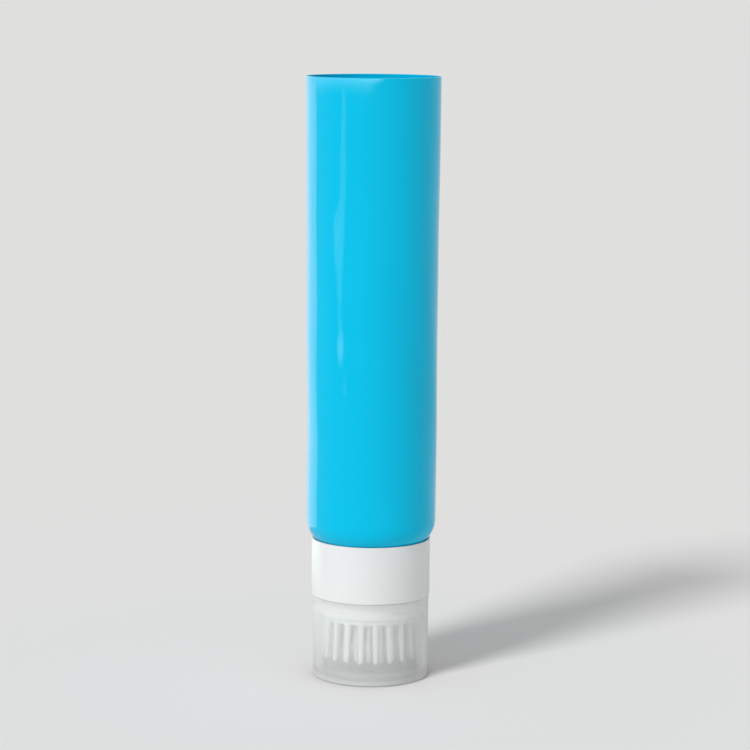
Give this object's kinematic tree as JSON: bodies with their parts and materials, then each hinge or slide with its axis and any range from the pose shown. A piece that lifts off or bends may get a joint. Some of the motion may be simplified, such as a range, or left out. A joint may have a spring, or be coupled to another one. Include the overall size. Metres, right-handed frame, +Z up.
{
  "type": "scalp applicator bottle",
  "caption": "Blue open-ended squeeze tube with a white twist head, a soft pad of tines for the scalp, and a frosted overcap that it stands on.",
  "frame": {"origin": "centre of the overcap's standing ring, on the surface that the bottle stands on", "axes": "+Z up along the bottle's axis from the overcap to the tube's open end; -Y is the side that faces the camera in the picture; the shut-off's stop lug is at +X"},
  "size_m": [0.0412, 0.0412, 0.1856],
  "materials": {
    "tube_blue": "gloss, thin flexible wall",
    "white_plastic": "satin moulded plastic",
    "soft_white": "soft satin elastomer",
    "frosted_clear": "milky frosted, light passes through"
  },
  "bodies": {
    "cap": {"overcap": "frosted_clear"},
    "head": {"head_shell": "white_plastic", "shutoff_disc": "white_plastic", "tine_pad": "soft_white"},
    "tube": {"squeeze_tube": "tube_blue", "valve_seat": "white_plastic"}
  },
  "joints": [
    {"name": "cap_pull", "type": "slide", "parent": "cap", "child": "head", "axis": [0, 0, 1], "range_m": [0, 0.03]},
    {"name": "twist", "type": "hinge", "parent": "head", "child": "tube", "pos_m": [0, 0, 0.03], "axis": [0, 0, 1], "range_deg": [0, 90]}
  ]
}
